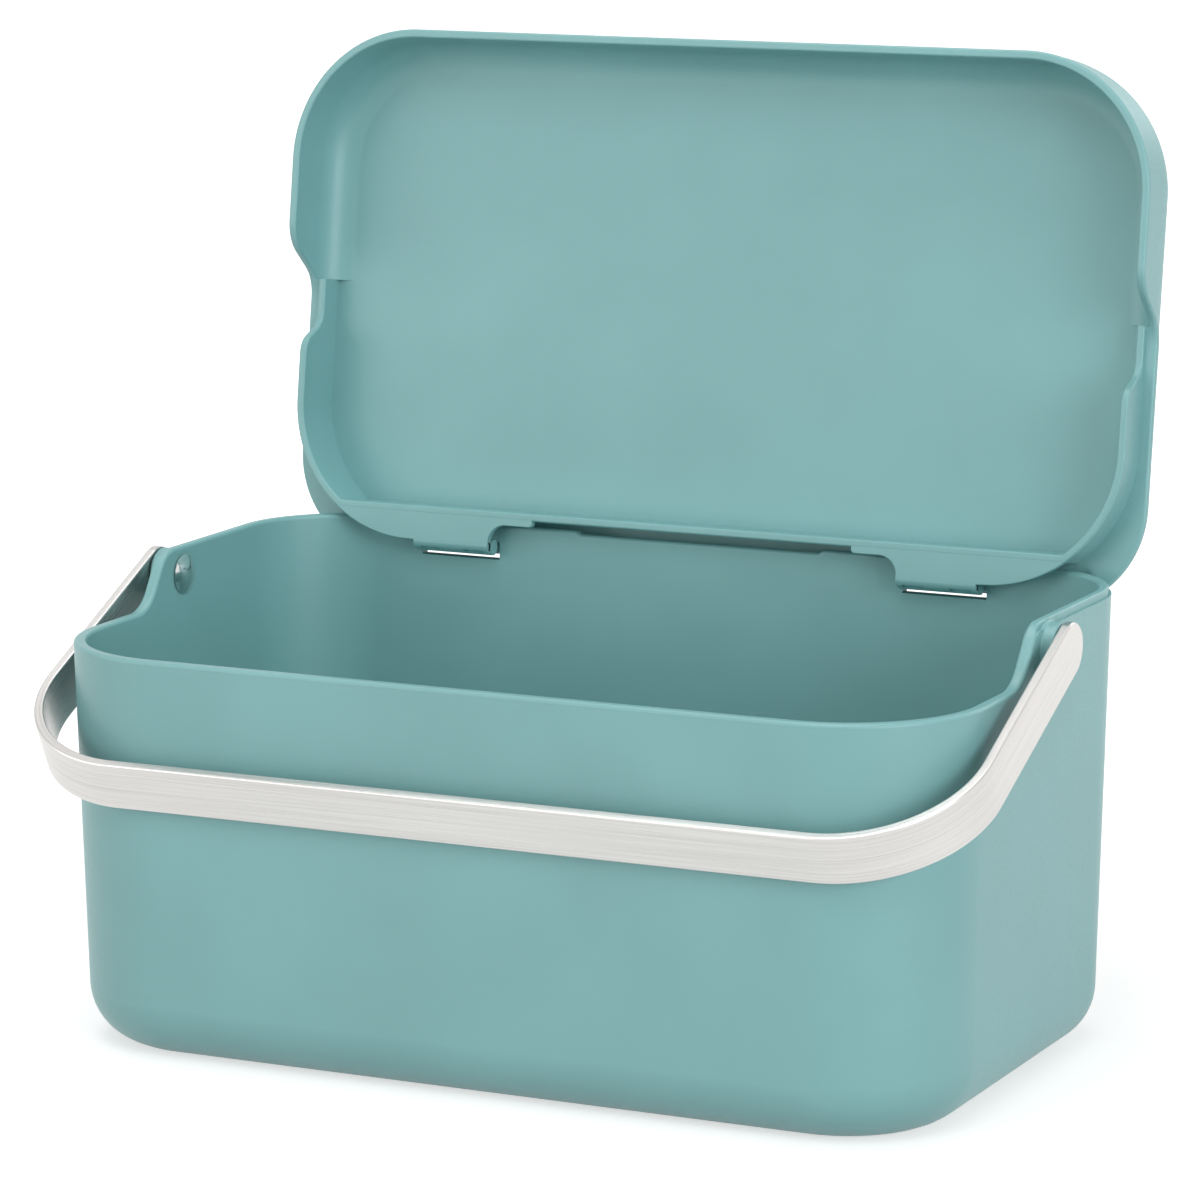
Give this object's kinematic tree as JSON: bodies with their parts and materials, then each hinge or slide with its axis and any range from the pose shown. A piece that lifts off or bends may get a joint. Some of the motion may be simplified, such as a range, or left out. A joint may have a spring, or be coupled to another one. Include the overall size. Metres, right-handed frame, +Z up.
{
  "type": "compost caddy",
  "caption": "Rectangular compost caddy with rounded corners: a drafted plastic bucket, a deep lid hinged at the back, and a bent steel strip handle on pivot studs.",
  "frame": {"origin": "centre of the flat base, on the surface that the caddy stands on", "axes": "+X to the object's right seen from the front, -Y to the front where the rim is low, +Z up; drawn with the lid open on its stop and the handle lowered"},
  "size_m": [0.2358, 0.1633, 0.2278],
  "materials": {
    "bucket_plastic": "satin moulded polypropylene, pale sage teal",
    "lid_plastic": "satin moulded polypropylene, pale sage teal",
    "handle_steel": "stainless strip brushed along its length, edges eased",
    "stud_steel": "turned stainless pin",
    "cap_steel": "polished domed cap"
  },
  "bodies": {
    "bucket": {"body": "bucket_plastic"},
    "lid": {"lid": "lid_plastic"},
    "handle": {"handle": "handle_steel", "left_pivot_stud": "stud_steel", "right_pivot_stud": "stud_steel", "left_stud_cap": "cap_steel", "right_stud_cap": "cap_steel"}
  },
  "joints": [
    {"name": "lid_hinge", "type": "hinge", "parent": "bucket", "child": "lid", "pos_m": [0, 0.0602, 0.1028], "axis": [1, 0, 0], "range_deg": [0, 98.4]},
    {"name": "handle_swing", "type": "hinge", "parent": "bucket", "child": "handle", "pos_m": [0, 0.0049, 0.1012], "axis": [-1, 0, 0], "range_deg": [0, 157]}
  ]
}
